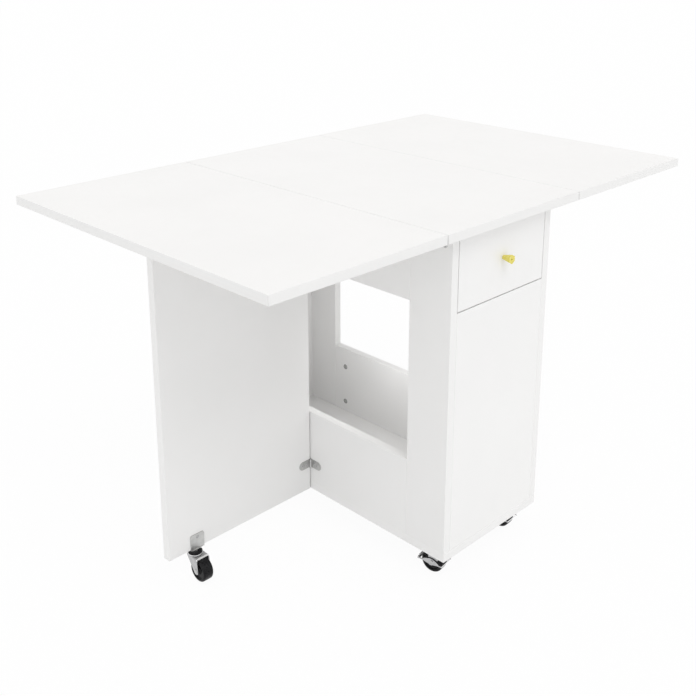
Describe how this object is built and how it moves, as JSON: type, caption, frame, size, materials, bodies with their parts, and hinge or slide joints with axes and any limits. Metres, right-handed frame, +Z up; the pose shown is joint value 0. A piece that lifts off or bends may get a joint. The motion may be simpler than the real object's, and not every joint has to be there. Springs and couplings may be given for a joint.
{
  "type": "drop-leaf kitchen cart",
  "caption": "Narrow white cabinet on swivel casters with a top drawer, open side windows, swing-out gates and raised drop leaves that form a long table.",
  "frame": {"origin": "on the floor under the middle of the opened top", "axes": "+X along the length of the opened top, the drawer opens towards -Y, +Z up"},
  "size_m": [1.2, 0.75, 0.743],
  "materials": {
    "white_top": "satin white laminate",
    "white_board": "satin white laminate",
    "white_front": "gloss white laminate",
    "drawer_liner": "matte light grey foil",
    "zinc_steel": "zinc plated",
    "cam_zinc": "cast zinc",
    "chrome": "bright",
    "gilt": "polished gilt",
    "black_wheel": "semi-gloss",
    "beech": "bare"
  },
  "bodies": {
    "cabinet": {"center_top": "white_top", "front_left_stile": "white_board", "front_right_stile": "white_board", "rear_left_stile": "white_board", "rear_right_stile": "white_board", "left_top_rail": "white_board", "left_bottom_rail": "white_board", "right_top_rail": "white_board", "right_bottom_rail": "white_board", "bottom_board": "white_board", "rear_panel": "white_board", "front_panel": "white_front", "cam_locks": "cam_zinc", "cam_bolts": "zinc_steel", "wood_dowels": "beech", "top_brackets": "zinc_steel", "cabinet_screws": "zinc_steel", "leaf_hinge_fixed_wings": "zinc_steel", "gate_hinge_fixed_wings": "zinc_steel", "hinge_pins": "zinc_steel", "drawer_runners": "zinc_steel", "caster_plates": "zinc_steel"},
    "leaf_left": {"leaf_left": "white_top", "leaf_left_hinge_wings": "zinc_steel"},
    "leaf_right": {"leaf_right": "white_top", "leaf_right_hinge_wings": "zinc_steel"},
    "gate_left": {"gate_left": "white_board", "gate_left_hinge_wings": "zinc_steel", "gate_left_bracket": "zinc_steel"},
    "gate_right": {"gate_right": "white_board", "gate_right_hinge_wings": "zinc_steel", "gate_right_bracket": "zinc_steel"},
    "drawer": {"drawer_front": "white_front", "drawer_left_side": "drawer_liner", "drawer_right_side": "drawer_liner", "drawer_back": "drawer_liner", "drawer_bottom": "drawer_liner", "drawer_knob": "gilt", "drawer_slides": "zinc_steel"},
    "front_left_caster": {"front_left_fork": "chrome", "front_left_axle": "zinc_steel"},
    "front_left_wheel": {"front_left_wheel": "black_wheel"},
    "front_left_brake": {"front_left_brake": "chrome"},
    "front_right_caster": {"front_right_fork": "chrome", "front_right_axle": "zinc_steel"},
    "front_right_wheel": {"front_right_wheel": "black_wheel"},
    "front_right_brake": {"front_right_brake": "chrome"},
    "rear_left_caster": {"rear_left_fork": "chrome", "rear_left_axle": "zinc_steel"},
    "rear_left_wheel": {"rear_left_wheel": "black_wheel"},
    "rear_right_caster": {"rear_right_fork": "chrome", "rear_right_axle": "zinc_steel"},
    "rear_right_wheel": {"rear_right_wheel": "black_wheel"},
    "gate_left_caster": {"gate_left_fork": "chrome", "gate_left_axle": "zinc_steel"},
    "gate_left_wheel": {"gate_left_wheel": "black_wheel"},
    "gate_right_caster": {"gate_right_fork": "chrome", "gate_right_axle": "zinc_steel"},
    "gate_right_wheel": {"gate_right_wheel": "black_wheel"}
  },
  "joints": [
    {"name": "leaf_left_hinge", "type": "hinge", "parent": "cabinet", "child": "leaf_left", "pos_m": [-0.2005, 0, 0.722], "axis": [0, 1, 0], "range_deg": [0, 2]},
    {"name": "leaf_right_hinge", "type": "hinge", "parent": "cabinet", "child": "leaf_right", "pos_m": [0.2005, 0, 0.722], "axis": [0, -1, 0], "range_deg": [0, 2]},
    {"name": "gate_left_swing", "type": "hinge", "parent": "cabinet", "child": "gate_left", "pos_m": [-0.153, 0.0294, 0.121], "axis": [0, 0, 1], "range_deg": [0, 83]},
    {"name": "gate_right_swing", "type": "hinge", "parent": "cabinet", "child": "gate_right", "pos_m": [0.153, -0.0294, 0.121], "axis": [0, 0, 1], "range_deg": [0, 90]},
    {"name": "drawer_slide", "type": "slide", "parent": "cabinet", "child": "drawer", "axis": [0, -1, 0], "range_m": [0, 0.3]},
    {"name": "front_left_swivel", "type": "hinge", "parent": "cabinet", "child": "front_left_caster", "pos_m": [-0.11, -0.313, 0.058], "axis": [0, 0, 1], "continuous": true},
    {"name": "front_left_wheel_spin", "type": "hinge", "parent": "front_left_caster", "child": "front_left_wheel", "pos_m": [-0.11328, -0.29226, 0.024], "axis": [-0.9877, -0.1564, 0], "continuous": true},
    {"name": "front_left_brake_press", "type": "hinge", "parent": "front_left_caster", "child": "front_left_brake", "pos_m": [-0.11266, -0.29621, 0.0293], "axis": [-0.9877, -0.1564, 0], "range_deg": [0, 12]},
    {"name": "front_right_swivel", "type": "hinge", "parent": "cabinet", "child": "front_right_caster", "pos_m": [0.11, -0.313, 0.058], "axis": [0, 0, 1], "continuous": true},
    {"name": "front_right_wheel_spin", "type": "hinge", "parent": "front_right_caster", "child": "front_right_wheel", "pos_m": [0.10854, -0.29205, 0.024], "axis": [-0.9976, -0.0698, 0], "continuous": true},
    {"name": "front_right_brake_press", "type": "hinge", "parent": "front_right_caster", "child": "front_right_brake", "pos_m": [0.10881, -0.29604, 0.0293], "axis": [-0.9976, -0.0698, 0], "range_deg": [0, 12]},
    {"name": "rear_left_swivel", "type": "hinge", "parent": "cabinet", "child": "rear_left_caster", "pos_m": [-0.11, 0.313, 0.058], "axis": [0, 0, 1], "continuous": true},
    {"name": "rear_left_wheel_spin", "type": "hinge", "parent": "rear_left_caster", "child": "rear_left_wheel", "pos_m": [-0.10282, 0.29327, 0.024], "axis": [0.9397, 0.342, 0], "continuous": true},
    {"name": "rear_right_swivel", "type": "hinge", "parent": "cabinet", "child": "rear_right_caster", "pos_m": [0.11, 0.313, 0.058], "axis": [0, 0, 1], "continuous": true},
    {"name": "rear_right_wheel_spin", "type": "hinge", "parent": "rear_right_caster", "child": "rear_right_wheel", "pos_m": [0.10282, 0.29327, 0.024], "axis": [0.9397, -0.342, 0], "continuous": true},
    {"name": "gate_left_swivel", "type": "hinge", "parent": "gate_left", "child": "gate_left_caster", "pos_m": [-0.463, 0.0313, 0.058], "axis": [0, 0, 1], "continuous": true},
    {"name": "gate_left_wheel_spin", "type": "hinge", "parent": "gate_left_caster", "child": "gate_left_wheel", "pos_m": [-0.46337, 0.0103, 0.024], "axis": [0.9998, -0.0175, 0], "continuous": true},
    {"name": "gate_right_swivel", "type": "hinge", "parent": "gate_right", "child": "gate_right_caster", "pos_m": [0.463, -0.0313, 0.058], "axis": [0, 0, 1], "continuous": true},
    {"name": "gate_right_wheel_spin", "type": "hinge", "parent": "gate_right_caster", "child": "gate_right_wheel", "pos_m": [0.46447, -0.05225, 0.024], "axis": [0.9976, 0.0698, 0], "continuous": true}
  ]
}
